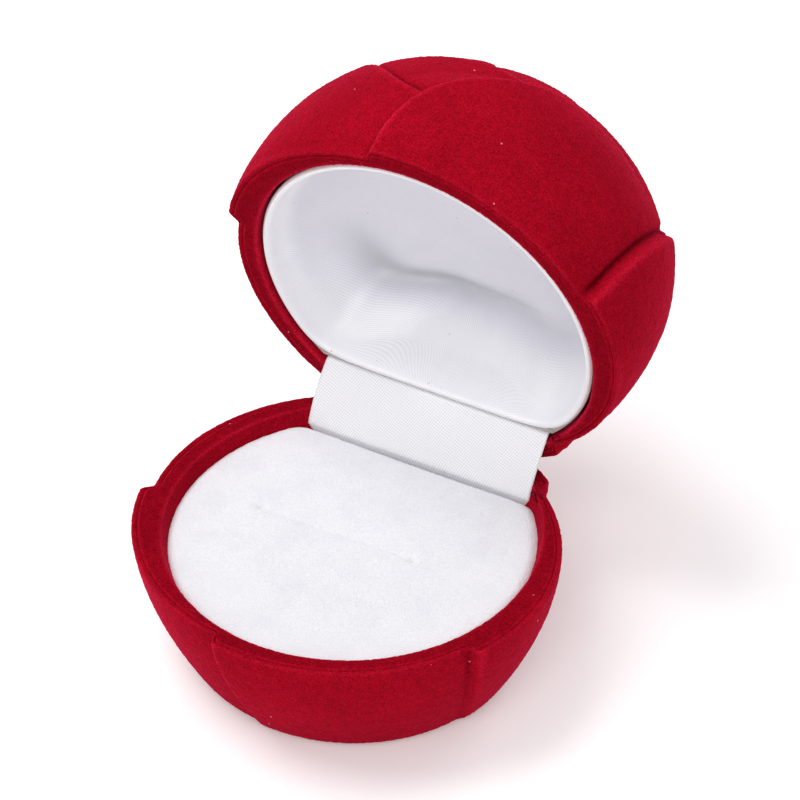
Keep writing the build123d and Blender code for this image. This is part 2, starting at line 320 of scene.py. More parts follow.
def rim_ring(k, outer, inner):
    """Radius and depth below the rim plane of the k-th ring across the land."""
    width = outer - inner
    if k < len(RIM_STEPS):
        inset = np.full_like(outer, RIM_STEPS[k])
    else:
        inset = width - RIM_INNER_STEPS[k - len(RIM_STEPS)]
    edge = np.minimum(inset, width - inset)
    t = np.clip(1 - edge / RIM_ROUNDING, 0, 1)
    depth = RIM_ROUNDING * (1 - np.sqrt(1 - t * t))
    depth = depth + GROOVE_DEPTH * np.exp(-(((inset - GROOVE_PLACE) / GROOVE_WIDTH) ** 2))
    return outer - inset, depth


RIM_COUNT = len(RIM_STEPS) + len(RIM_INNER_STEPS)


HINGE_CLEARANCE, HINGE_SLACK = 0.1 * MM, math.radians(1.5)
NOTCH_REACH = 1.0 * MM         # how far in front of the rear wall the notch starts


def hinge_room(co, side):
    """Cut the rear edge back for the hinge: a slope clear of the other half, and a notch for
    the knuckles. side is -1 for the bowl and +1 for the lid."""
    s = sizes()
    away = np.maximum(side * (co[:, 2] - SEAM_Z), 0.0)
    limit = HINGE_Y - HINGE_CLEARANCE + away / math.tan(OPEN_ANGLE / 2 + HINGE_SLACK)
    co[:, 1] = np.minimum(co[:, 1], limit)
    in_front = HINGE_Y - s.rear_wall - NOTCH_REACH
    in_notch = (np.abs(co[:, 0]) < s.notch_half_width) & (co[:, 1] > in_front)
    floor = SEAM_Z + side * s.notch_depth
    shallow = in_notch & (side * (co[:, 2] - floor) < 0)
    co[shallow, 2] = floor
    return co


# ------------------------------------------------------------------ base bowl
FOOT_CURVE, DRIFT_CURVE, RELIEF_CURVE = 1.65, 1.5, 0.8
FOOT_RELIEF = 0.35             # share of the petals' relief that is left at the foot
FOOT_LAP_EDGE = 1.2            # degrees by which the lapping edge is softer at the foot
BOWL_FLOOR, FLOOR_SHARE = 3.6 * MM, 0.78


def bowl_share(z):
    return 1 - sizes().foot_taper * np.clip(1 - z / SEAM_Z, 0, 1) ** FOOT_CURVE


def bowl_outer(theta, z):
    """Radius of the bowl's petalled wall."""
    s = sizes()
    turn = s.lap_drift * np.clip(1 - z / SEAM_Z, 0, 1) ** DRIFT_CURVE
    relief = lap_factor(theta, turn, LAP_EDGE + FOOT_LAP_EDGE * float(np.mean(1 - z / SEAM_Z)))
    kept = FOOT_RELIEF + (1 - FOOT_RELIEF) * np.clip(z / SEAM_Z, 0, 1) ** RELIEF_CURVE
    relief = 1 + (relief - 1) * kept
    return rim_ellipse(theta) * bowl_share(z) * relief


def make_bowl():
    s = sizes()
    rim_z = SEAM_Z - 0.5 * s.seam_gap
    wall_rings, foot_rings, sole_rings, inner_rings, floor_rings = 52, 8, 3, 16, 3
    foot_radius = s.foot_rounding
    rings = floor_rings + inner_rings + RIM_COUNT + wall_rings + foot_rings + sole_rings
    bowl, theta, ring = new_ball("base_bowl", 480, rings)
    co = np.zeros((len(theta), 3))
    top_outer = bowl_outer(theta, np.full_like(theta, rim_z))
    opening = opening_radius(theta)
    for k in range(rings + 1):
        at = ring == k
        t = theta[at]
        j = k - floor_rings
        if k < floor_rings:
            radius, z = opening[at] * FLOOR_SHARE * k / floor_rings, np.full(t.shape, BOWL_FLOOR)
        elif j < inner_rings:
            share = j / inner_rings
            radius = opening[at] * (FLOOR_SHARE + (1 - FLOOR_SHARE) * share)
            z = np.full(t.shape, BOWL_FLOOR + (rim_z - RIM_ROUNDING - BOWL_FLOOR) * share)
        elif j < inner_rings + RIM_COUNT:
            step = inner_rings + RIM_COUNT - 1 - j
            radius, depth = rim_ring(step, top_outer[at], opening[at])
            z = rim_z - depth
        else:
            j = j - inner_rings - RIM_COUNT
            if j < wall_rings:
                share = (j + 1) / wall_rings
                z = np.full(t.shape, (rim_z - RIM_ROUNDING) * (1 - share) + foot_radius * share)
                radius = bowl_outer(t, z)
            elif j < wall_rings + foot_rings:
                bend = 0.5 * math.pi * (j - wall_rings + 1) / foot_rings
                z = np.full(t.shape, foot_radius * (1 - math.sin(bend)))
                radius = bowl_outer(t, z) - foot_radius * (1 - math.cos(bend))
            else:
                share = 1 - (j - wall_rings - foot_rings + 1) / sole_rings
                z = np.zeros(t.shape)
                radius = (bowl_outer(t, z) - foot_radius) * share
        co[at] = np.c_[radius * np.cos(t), radius * np.sin(t), z]
    co = hinge_room(co, -1)
    move_vertices(bowl, co)
    return bowl


# ------------------------------------------------------------------ rose relief
def around(*points):
    """Points given as (angle in degrees, millimetres up from the rim) on the rose's flat plan."""
    p = np.asarray(points, float)
    reach = DOME.length / MM - p[:, 1]
    return np.c_[reach * np.cos(np.radians(p[:, 0])), reach * np.sin(np.radians(p[:, 0]))]


def across(*points):
    """Points given as (x, y) millimetres from the rose's centre on its flat plan."""
    return np.asarray(points, float)


# Edge of the bud's front petal: up its left side, over the tip, along the lip and round behind.
BUD_EDGE = ((-13.4, -5.2), (-12.2, -3.2), (-10.3, -0.7), (-8.3, 1.4), (-6.2, 2.9), (-4.3, 3.6),
(-2.9, 3.55),
            (-2.15, 2.7), (-2.05, 1.2), (-2.0, -0.6), (-1.4, -2.3), (-0.3, -3.5), (1.2, -3.95), (2.8, -3.5),
            (4.1, -2.2), (4.8, -0.4), (5.0, 1.6), (4.9, 3.6), (4.4, 5.7))
BUD_RIM = ((1.4, 9.6), (3.6, 9.4), (5.8, 8.2), (7.6, 6.0), (8.7, 3.2), (8.9, 0.2), (8.5, -2.8), (7.1, -6.2),
           (4.6, -9.3), (1.2, -11.6), (-3, -12.8), (-8, -12.2), (-11.6, -9.5), (-13.4, -5.2))
BUD_BEHIND = np.array(((1.0, 8.0), *BUD_RIM[:-1]))
BUD_FRONT = np.array(((6.6, 4.6), *BUD_RIM[4:-1]))


PETAL_SPAN = 5                 # points of a petal's edge from each listed point to the next


class Petal:
    """One petal on the rose's flat plan: a free edge that stands proud, and a closing line that
    lies under its neighbours. The petal sinks with the distance from its free edge."""

    def __init__(self, free, hidden, proud, sink, reach, edge=0.28, lip=0.7):
        self.free = smooth_line(free, PETAL_SPAN)
        self.outline = np.vstack([self.free, hidden])
        self.proud, self.sink, self.reach = proud, sink, reach
        self.edge, self.lip = edge, lip
        self.groove = 0.35         # how deep the crease just outside the free edge is
        self.rim_round = None      # (line, width, drop): the petal turns down towards this line
        self.hollow = None         # (place, radius, depth): the petal dips into a hole here

    def height(self, away):
        """Height of the petal's face at a distance from its free edge."""
        return self.proud - self.sink * (1 - np.exp(-away / self.reach))


def inside(points, outline):
    """Which points lie inside a closed outline."""
    x, y = points.T
    hit = np.zeros(len(points), bool)
    x0, y0 = outline[-1]
    for x1, y1 in outline:
        crosses = (y1 > y) != (y0 > y)
        if y1 != y0:
            hit ^= crosses & (x < (x0 - x1) * (y - y1) / (y0 - y1) + x1)
        x0, y0 = x1, y1
    return hit


def dome_points(plan):
    """Places on the mean dome, in millimetres, for points of the flat plan."""
    reach = np.hypot(plan[:, 0], plan[:, 1])
    theta = np.arctan2(plan[:, 1], plan[:, 0])
    height, radius = DOME.at(DOME.length - reach * MM)
    return np.c_[radius * np.cos(theta), radius * np.sin(theta), height] / MM


def edge_distance(points, edge):
    """Distance from each 3-D point to a polyline's segments."""
    best = np.full(len(points), 1e9)
    for a, b in zip(edge, edge[1:]):
        ab = b - a
        t = np.clip(((points - a) @ ab) / (ab @ ab + 1e-12), 0, 1)
        gap = points - a - t[:, None] * ab
        best = np.minimum(best, np.einsum("ij,ij->i", gap, gap))
    return np.sqrt(best)


def outer_petal(k, free, hidden):
    """Petal that laps at the k-th edge of the rim and is covered by the next one."""
    petal = Petal(free, hidden, 0.0, 0.0, 1.0, edge=0.3, lip=0.8)
    petal.start = LAPS[k]
    petal.span = (LAPS[(k + 1) % len(LAPS)] - LAPS[k]) % 360.0
    return petal


def rose_petals():
    """Every petal, from the bud outwards, each covering those before it."""
    p = []
    # inner left petal behind the bud
    p.append(Petal(
        across((-2.2, 8.6), (-2.9, 10.2), (-3.8, 11.3), (-5.6, 12.0), (-8.2, 11.7), (-11, 11.0),
               (-13.6, 10.4), (-16, 9)),
        across((-16, 2), (-8, 2), (-2, 5)), -0.4, 2.2, 5.0, lip=1.0))
    # the front petal goes right round the bud; its part behind the wrap is laid first
    p.append(Petal(BUD_EDGE, BUD_BEHIND, 1.0, 5.4, 7.5, edge=0.3, lip=1.9))
    p[-1].rim_round = (BUD_RIM, 1.9, 1.5)
    # petal that wraps the bud from behind, down to the fold in its middle
    p.append(Petal(
        across((-15, 2.4), (-13.6, 3.4), (-10.5, 5.4), (-7, 7.5), (-4, 9.2), (-1.8, 9.7), (0.4, 9.4),
               (2.1, 8.5),
               (3.4, 6.8), (4.1, 4.9), (4.3, 2.8), (4.2, 0.4), (3.7, -1.7), (2.6, -3.2), (1.0, -3.9)),
        across((-1, -7), (-9, -9.5), (-16, -7)), 0.95, 1.2, 3.5, edge=0.35, lip=1.5))
    p[-1].hollow = ((0.2, 3.8), 2.8, 4.0)
    # the front petal's own lobe, over the wrap
    p.append(Petal(BUD_EDGE, BUD_FRONT, 1.0, 5.4, 7.5, edge=0.3, lip=1.9))
    p[-1].rim_round = (BUD_RIM, 1.9, 1.5)
    # inner ring around the bud
    p.append(Petal(
        across((-13.3, -5), (-12.3, -7.5), (-10.5, -9.9), (-7.7, -11.7), (-3.7, -12.9), (0.3, -13.1),
               (4.6, -11.9), (7.9, -9.4),
               (10.9, -5.8), (13.2, -1.5), (14.3, 2.4), (14.5, 5.6), (13.9, 8.6), (12.2, 11.6), (9.5, 13.9),
               (6, 15.2), (2, 15.7), (-3, 15.2), (-8, 14.2), (-12, 12.6), (-15.5, 9.5)),
        around((150, 24), (120, 24), (90, 24), (60, 24), (30, 24), (0, 24), (330, 24), (300, 24), (270, 24),
               (240, 24), (210, 24)), 0.7, 2.3, 4.0, edge=0.5, lip=1.4))
    # second ring at the rear
    p.append(Petal(
        around((300, 27.0), (322, 28.6), (345, 29.8), (10, 30.2), (35, 29.6), (60, 28.9), (85, 29.2),
               (105, 30.0),
               (122, 30.6), (138, 30.2), (150, 28.5)),
        around((150, 20), (120, 20), (90, 20), (60, 20), (30, 20), (0, 20), (330, 20), (300, 20)),
        0.4, 2.0, 4.0, edge=0.4, lip=1.1))
    # large inner petal that wraps the front
    p.append(Petal(
        across((-10.2, 16.8), (-12.6, 14.2), (-14.2, 10.6), (-15.1, 7.7), (-15.3, 4.6), (-14.5, -1.5),
               (-12.8, -6.8), (-11.1, -9.9),
               (-8, -12.4), (-4, -14.4), (-0.3, -15.6), (4.6, -16.1), (9.5, -15.4), (13.8, -12.9),
               (17.0, -8.8),
               (19.2, -4), (20.6, 1)),
        around((5, 18), (330, 18), (300, 18), (270, 18), (240, 18), (210, 18), (180, 18), (150, 18),
               (130, 22)),
        0.35, 1.9, 4.5, edge=0.32, lip=0.9))
    # third layer, front
    p.append(Petal(
        around((195, 21.5), (198, 23), (207, 25.8), (220, 27.7), (237, 28.3), (252, 27.5), (265, 25.8),
               (274, 23.6)),
        around((274, 2), (235, 2), (195, 2)), 0.2, 1.5, 4.0, lip=0.7))
    # second layer, rear right, rear and rear left
    p.append(Petal(
        around((276, 20), (288, 24.6), (302, 26.8), (320, 27.6), (338, 27.2), (355, 25.6), (12, 22.5)),
        around((12, 2), (340, 2), (300, 2), (276, 2)), 0.2, 1.6, 5.0, lip=0.8))
    p.append(Petal(
        around((348, 19), (0, 23.8), (18, 26.6), (38, 27.3), (58, 26.4), (76, 23.8), (88, 20)),
        around((88, 2), (40, -6), (348, 2)), 0.2, 1.7, 5.0, lip=0.8))
    p.append(Petal(
        around((62, 18), (74, 23.0), (92, 26.2), (110, 27.2), (125, 26.4), (138, 24.4), (150, 20)),
        around((150, 2), (105, -6), (62, 2)), 0.2, 1.7, 5.0, lip=0.8))
    # second layer, left
    p.append(Petal(
        around((112, 19), (122, 24.2), (135, 25.9), (152, 25.7), (170, 24.8), (186, 23.8), (200, 22.5),
               (211, 20.8),
               (220, 18.5)),
        around((216, 2), (160, -8), (112, 2)), 0.2, 1.6, 5.0, lip=0.8))
    # second layer, front right
    p.append(Petal(
        around((216, 17.5), (223, 20.4), (231, 22.1), (241, 23.4), (254, 24.2), (265, 24.1), (275, 23.1),
               (282, 21.6),
               (284.5, 20.2), (281, 18.4), (275, 16.5), (268, 14)),
        around((262, -2), (216, -2)), 0.15, 1.5, 5.0, lip=0.8))
    return p


def outer_petals():
    """The five outer petals, whose sides lap in turn."""
    rim, outside = -1.5, -16.0
    c = outer_petal(4, around((334.5, rim), (334.5, 0), (335.5, 6), (339, 12), (346, 17.4), (354, 20.4),
                              (6, 22.0), (20, 21.8), (34, 19.8),
                                (48, 16.2), (60, 12)), around((70, 6), (70, outside), (20, outside)))
    d = outer_petal(0, around((48, rim), (48, 0), (49.5, 7), (54, 13.5), (62, 19), (74, 22.1),
                              (88, 22.4), (102, 20.6), (116, 17),
                                (130, 12)), around((138, 5), (138, outside), (90, outside)))
    q = outer_petal(1, around((118, rim), (118, 0), (119.5, 6), (123, 10.5), (129, 13.6), (136, 15.0),
                              (144, 15.4), (152, 15.3),
                                (161, 14.9), (170, 14.0), (180, 12.6), (188, 11.0), (198, 9)),
                    around((205, 4), (205, outside), (160, outside)))
    a = outer_petal(2, around((189, rim), (189, 0), (191, 4), (193.8, 8.4), (197.8, 13.6), (205, 17.6),
                              (213, 19.5), (221.5, 20.1),
                                (231, 18.8), (240, 16.5), (250, 13.9), (261, 11.8), (272, 9)),
                    around((276, 4), (276, outside), (230, outside)))
    b = outer_petal(3, around((258, rim), (258, 0), (258.6, 5), (261, 9.8), (266, 13.6), (273.5, 17.2),
                              (282, 20.0), (291, 22.4),
                                (303, 24.0), (317, 24.5), (332, 23.8), (346, 21.5), (356, 18)),
                    around((356, 10), (345, 4), (345, outside), (300, outside)))
    return [c, d, q, a, b, c]


# millimetres, except the lip's drop, which is a share of the lip's width
MOAT_HEIGHT, MOAT_RISE, OUTER_CURL, CREASE_WIDTH, LIP_DROP = -3.2, 1.6, 0.25, 0.42, 0.42


def rose_relief(theta, s):
    """Height of the petals above the mean dome, in millimetres."""
    reach = (DOME.length - s) / MM
    plan = np.c_[reach * np.cos(theta), reach * np.sin(theta)]
    spots = dome_points(plan)
    # trough between the bud and the inner ring
    height = MOAT_HEIGHT + MOAT_RISE * smoothstep(11, 4, reach)

    def lay(petal, rise, allowed=None):
        near = np.all((plan > petal.outline.min(0) - 1.0) & (plan < petal.outline.max(0) + 1.0), axis=1)
        if allowed is not None:
            near &= allowed
        away = edge_distance(spots[near], dome_points(petal.free))
        signed = np.where(inside(plan[near], petal.outline), away, -away)
        cover = smoothstep(-petal.edge, petal.edge, signed)
        lip = petal.lip
        rounding = np.clip(1 - np.maximum(signed, 0) / lip, 0, 1)
        surface = rise(away, near) - LIP_DROP * lip * rounding**2.2
        if petal.rim_round:
            line, width, drop = petal.rim_round
            to_rim = edge_distance(spots[near], dome_points(smooth_line(line, PETAL_SPAN)))
            surface -= drop * np.clip(1 - to_rim / width, 0, 1) ** 2
        if petal.hollow:
            place, size, depth = petal.hollow
            offset = plan[near] - place
            surface -= depth * np.exp(-np.einsum("ij,ij->i", offset, offset) / (2 * size * size))
        laid = height.copy()
        groove = petal.groove * np.exp(-(((signed + CREASE_WIDTH) / CREASE_WIDTH) ** 2))
        laid[near] = (height[near] - groove) * (1 - cover) + surface * cover
        return laid

    for petal in rose_petals():
        height = lay(petal, lambda away, near: petal.height(away))
    angle = np.degrees(theta) % 360.0
    for i, petal in enumerate(outer_petals()):
        # up to 20 degrees before its start a petal is as proud as at its start
        u = ((angle - petal.start + 20.0) % 360.0 - 20.0) / petal.span
        sunk = (LAP_PROUD + LAP_SUNK) * np.clip(u, 0, 1.0) ** LAP_CURVE
        along = DOME_RADII[0] / MM * (LAP_PROUD - sunk)
        allowed = None
        if i == len(LAPS):
            # only the lapping side of this one comes over the last petal
            allowed = (angle > 320) | (angle < 22)
        height = lay(petal, lambda away, near: along[near] + OUTER_CURL * np.exp(-away / 2.5), allowed)
    return height


RING_CURVE = 0.94              # below 1, the rings lie closer together near the rim
SETTLE_BAND, HOLLOW_DEPTH = 2.5 * MM, 22.5 * MM


def make_rose_lid():
    s = sizes()
    rim_z = SEAM_Z + 0.5 * s.seam_gap
    outer_rings, inner_rings = 134, 12
    rings = outer_rings + RIM_COUNT + inner_rings
    lid, theta, ring = new_ball("rose_lid", 560, rings)
    top_outer = rim_ellipse(theta) * lap_factor(theta)
    opening = opening_radius(theta)
    on_rose = ring < outer_rings
    along = np.clip(ring / outer_rings, 0, 1) ** RING_CURVE
    s_place = DOME.length * (1 - along) + RIM_ROUNDING * along
    height, radius = DOME.at(s_place)
    # the plan is the rim's ellipse below and grows round towards the crown
    stretch = rim_ellipse(theta) / DOME_RADII[0]
    low = smoothstep(DOME.length, 0.3 * DOME.length, s_place)
    radius = radius * (1 + (stretch - 1) * low)
    relief = rose_relief(theta[on_rose], s_place[on_rose]) * MM
    # outward direction of the mean profile
    step = 0.2 * MM
    h0, r0 = DOME.at(s_place - step)
    h1, r1 = DOME.at(s_place + step)
    length = np.hypot(h1 - h0, r1 - r0) + 1e-12
    out_r, out_h = (h1 - h0) / length, -(r1 - r0) / length
    co = np.zeros((len(theta), 3))
    r = radius[on_rose] + out_r[on_rose] * relief
    z = rim_z + height[on_rose] + out_h[on_rose] * relief
    # the lowest band settles onto the rim's own outline
    settle = smoothstep(SETTLE_BAND, RIM_ROUNDING, s_place[on_rose])
    r = r * (1 - settle) + top_outer[on_rose] * settle
    t = theta[on_rose]
    co[on_rose] = np.c_[r * np.cos(t), r * np.sin(t), z]
    for k in range(outer_rings, rings + 1):
        at = ring == k
        t = theta[at]
        if k < outer_rings + RIM_COUNT:
            radius_k, depth = rim_ring(k - outer_rings, top_outer[at], opening[at])
            z_k = rim_z + depth
        else:
            share = (k - outer_rings - RIM_COUNT + 1) / (inner_rings + 1)
            radius_k = opening[at] * math.cos(0.5 * math.pi * max(0.0, share * 1.25 - 0.25)) ** 0.8
            z_k = np.full(t.shape, rim_z + RIM_ROUNDING + HOLLOW_DEPTH * math.sin(0.5 * math.pi * share))
        if k == rings:
            radius_k = radius_k * 0
        co[at] = np.c_[radius_k * np.cos(t), radius_k * np.sin(t), z_k]
    co = hinge_room(co, 1)
    move_vertices(lid, co)
    apply_modifier(lid, "SMOOTH", factor=0.5, iterations=2)
    # Crest and relief depth, from which the flock's colour paints shade in folds and a highlight on raised
    # edges.
    crest_attribute(lid)
    depth = np.zeros(len(theta))
    depth[on_rose] = relief / MM
    point_attribute(lid, "fold_depth", depth + land_shade(lid, 1))
    flock_roughness(lid, FLOCK_NUDGE, 3)
    move_vertices(lid, swing_open(vertices_of(lid)))
    return lid


# ------------------------------------------------------------------ pad
def d_radius(theta, plain, rear_y, centre_y, corner):
    """Radius, about a centre, of a round outline cut straight at the rear with rounded corners."""
    straight = np.minimum(straight_cut(theta, rear_y - centre_y, 0.15), 0.2)
    return -corner * np.logaddexp(-plain / corner, -straight / corner)


PAD_EDGE, PAD_CORNER, PAD_GAP = 1.5 * MM, 0.55 * MM, 0.15 * MM
PAD_BELOW = 4.5 * MM           # how far the foam reaches below the velvet
PAD_DRAFT = 0.16               # share by which the foam narrows downwards
SLIT_MIDDLE, SLIT_HALF = -2.0 * MM, 10.5 * MM


def make_pad():
    """Flocked foam pad: crowned, soft-edged, with the ring slit pinched shut across it."""
    s = sizes()
    low, high = PAD_LOW[2] - PAD_BELOW, PAD_HIGH[2] - s.pad_crown + 0.2 * MM
    rings, top_rings, side_rings, sole_rings = 96, 60, 12, 6
    pad, theta, ring = new_ball("ring_pad", 384, rings)
    outline = d_radius(theta, opening_radius(theta) - PAD_GAP, s.pad_rear_y, 0.0, PAD_CORNER)
    co = np.zeros((len(theta), 3))
    for k in range(rings + 1):
        at = ring == k
        t = theta[at]
        full = outline[at]
        if k <= top_rings:
            share = k / top_rings
            radius, drop = (full - PAD_EDGE) * share, np.zeros(t.shape)
        elif k <= top_rings + side_rings:
            bend = 0.5 * math.pi * (k - top_rings) / side_rings
            radius = full - PAD_EDGE * (1 - math.sin(bend))
            drop = np.full(t.shape, PAD_EDGE * (1 - math.cos(bend)))
        elif k < rings - sole_rings:
            share = (k - top_rings - side_rings) / (rings - sole_rings - top_rings - side_rings)
            radius = full * (1 - PAD_DRAFT * share)
            drop = np.full(t.shape, PAD_EDGE + (high - low - PAD_EDGE) * share)
        else:
            radius = full * (1 - PAD_DRAFT) * (rings - k) / sole_rings
            drop = np.full(t.shape, high - low)
        co[at] = np.c_[radius * np.cos(t), radius * np.sin(t), high - drop]
    x, y = co[:, 0], co[:, 1]
    top = smoothstep(high - 2.4 * MM, high - 0.2 * MM, co[:, 2])
    reach = np.hypot(x, y) / (np.maximum(outline, 1e-6))
    crown = s.pad_crown * (1 - np.clip(reach, 0, 1) ** 2.6)
    # slit: a shallow pinched line with puckers at its ends
    along = x - SLIT_MIDDLE
    on_slit = smoothstep(SLIT_HALF + 0.8 * MM, SLIT_HALF - 0.6 * MM, np.abs(along))
    wave = 0.22 * MM * np.sin(along / (5.5 * MM))
    pinch = 0.08 * MM * np.exp(-(((y - wave) / (0.45 * MM)) ** 2))
    pinch += 0.13 * MM * np.exp(-((y / (1.5 * MM)) ** 2))
    pucker = np.zeros(len(x))
    for end in (-1, 1):
        d2 = ((along - end * SLIT_HALF) / (0.8 * MM)) ** 2 + (y / (0.62 * MM)) ** 2
        pucker += 0.26 * MM * np.exp(-d2) - 0.12 * MM * np.exp(-d2 / 6)
    co[:, 2] += top * (crown - on_slit * pinch - pucker)
    move_vertices(pad, co)
    # Crest, from which the pad's colour paints shade in its creases.
    crest_attribute(pad, rounds=6, scale=0.08 * MM, calm=ring < 4)
    flock_roughness(pad, 0.02 * MM, 7, calm_radius=9.0 * MM)
    return pad


# ------------------------------------------------------------------ satin lining
# the card former under the satin: its dome's shares of radius and of depth
FORMER_RADIUS, FORMER_DEPTH = 21.8 * MM, 19.9 * MM
FORMER_SHARES, FORMER_HEIGHTS = (0.0, 0.40, 0.72, 0.93, 1.0), (1.0, 0.96, 0.82, 0.50, 0.26)
FORMER_GAP, EDGE_RAISE, LINING_CORNER = 0.7 * MM, 0.45 * MM, 1.4 * MM
FOLD_REACH = 7.5               # millimetres a slack fold runs either way
PAINTED_LIGHT_PLAIN = 0.55              # painted light value at which the satin has neither painted shade nor painted highlight


def make_lining():
    """Satin drawn over the lid's padded cup: rolled edge, soft trough and slack folds."""
    s = sizes()
    edge_z = SEAM_Z + EDGE_RAISE
    rings, segments = 120, 360
    clear_selection()
    bpy.ops.mesh.primitive_uv_sphere_add(segments=segments, ring_count=rings, radius=1.0)
    lining = bpy.context.object
    lining.name = "satin_lining"
    # keep the upper half of the ball: an open cup
    edit_mesh(bpy.ops.mesh.bisect, plane_co=(0, 0, -0.0001), plane_no=(0, 0, 1), clear_inner=True)
    co = vertices_of(lining)
    theta = np.arctan2(co[:, 1], co[:, 0]) % (2 * np.pi)
    # place along the profile: 0 at the ceiling's middle, 1 at the rolled edge
    share = np.clip(np.arccos(np.clip(co[:, 2], -1, 1)) / (0.5 * np.pi), 0, 1)
    outline = d_radius(theta, s.lining_radius, s.lining_rear_y, s.lining_centre_y, LINING_CORNER)
    line = smooth_line(
        [(0.0, 1.0), (0.25, 0.985), (0.46, 0.93), (0.66, 0.81), (0.81, 0.63), (0.90, 0.43), (0.95, 0.25),
         (0.985, 0.13), (0.997, 0.05), (1.008, 0.012), (1.021, 0.0), (1.034, 0.012), (1.040, 0.045)], 16)
    steps = np.r_[0, np.cumsum(np.hypot(np.diff(line[:, 0]) * 21, np.diff(line[:, 1]) * 16))]
    where = share * steps[-1]
    radial = np.interp(where, steps, line[:, 0])
    height = np.interp(where, steps, line[:, 1])
    depth = s.lining_depth
    # the rear wall stands up straight before it turns into the ceiling
    upright = smoothstep(0.70, 0.97, np.sin(theta)) * smoothstep(1.0, 0.97, radial)
    height = height + upright * (height**0.5 - height)
    x = radial * outline * np.cos(theta)
    y = radial * outline * np.sin(theta) + s.lining_centre_y
    z = edge_z + height * depth
    inner = smoothstep(0.985, 0.85, radial)
    # the rear wall is slack: it leans forward and meets the ceiling in a soft trough
    rear = smoothstep(0.15, 0.85, np.sin(theta))
    y -= inner * rear * 1.4 * MM * np.sin(np.pi * np.clip(height, 0, 1)) ** 1.2
    trough = np.exp(-(((radial - 0.80) / 0.11) ** 2)) * smoothstep(-0.15, 0.8, np.sin(theta))
    z += trough * (1.5 - 0.5 * np.cos(theta)) * MM
    bulge = np.exp(-(((radial - 0.90) / 0.06) ** 2)) * smoothstep(0.3, 0.9, np.sin(theta))
    z -= bulge * 0.8 * MM
    # slack folds that run from the rear corners
    fold = np.zeros(len(x))
    for fx, fy, ux, uy, width, depth_mm in (
        (-9.0, 9.0, 0.86, 0.5, 1.7, 0.28), (10.0, 8.5, -0.8, 0.6, 1.6, 0.25),
        (0.0, 11.5, 1.0, 0.06, 1.5, 0.34), (-13.0, 3.0, 0.5, 0.86, 1.8, 0.2),
        (13.5, 1.0, -0.45, 0.9, 1.9, 0.22), (3.0, 7.0, 0.95, -0.3, 1.4, 0.16),
    ):
        px, py = x / MM - fx, y / MM - fy
        across_fold = (px * -uy + py * ux) / width
        along_fold = (px * ux + py * uy) / FOLD_REACH
        fold += depth_mm * np.exp(-(across_fold**2) - along_fold**2)
    z += inner * fold * MM * np.clip(height * 1.4, 0, 1)
    # it stays under the card former
    share_out = np.hypot(x, y - s.lining_centre_y) / FORMER_RADIUS
    former = np.interp(share_out, FORMER_SHARES, FORMER_HEIGHTS) * FORMER_DEPTH
    z = np.minimum(z, SEAM_Z + former - FORMER_GAP)
    move_vertices(lining, np.c_[x, y, z])
    # painted light in the colour: painted shade in the trough, painted highlight on the roll behind it
    behind = smoothstep(-0.1, 0.75, np.sin(theta + 0.10))
    painted_shade = np.exp(-(((radial - 0.77) / 0.09) ** 2)) * behind * (0.62 - 0.60 * np.cos(theta))
    bright = np.exp(-(((radial - 0.92) / 0.06) ** 2)) * behind + smoothstep(0.92, 0.98, radial)
    point_attribute(lining, "silk", np.clip(PAINTED_LIGHT_PLAIN * (1 - painted_shade) + (1 - PAINTED_LIGHT_PLAIN) * bright, 0, 1))
    apply_modifier(lining, "SMOOTH", factor=0.5, iterations=3)
    # the cloth's plan runs along the surface from the ceiling's middle
    travel = share * steps[-1] * MM
    lay_weave(lining, np.c_[travel * np.cos(theta), travel * np.sin(theta)])
    # turn the sheet so that its face looks into the lid's hollow
    edit_mesh(bpy.ops.mesh.flip_normals)
    apply_modifier(lining, "SOLIDIFY", thickness=CLOTH_THICKNESS, offset=-1.0)
    move_vertices(lining, swing_open(vertices_of(lining)))
    return lining


# ------------------------------------------------------------------ ribbon
def swing_point(y, z):
    p = swing_open(np.array([[0.0, y, z]]))[0]
    return p[1], p[2]


# heights of the ribbon's tucks, bends and exits below and above the seam
LOW_TUCK, LOW_BEND, LOW_EXIT = 4.2 * MM, 2.5 * MM, 1.7 * MM
HIGH_EXIT, HIGH_BEND, HIGH_TUCK = 1.0 * MM, 2.0 * MM, 4.0 * MM


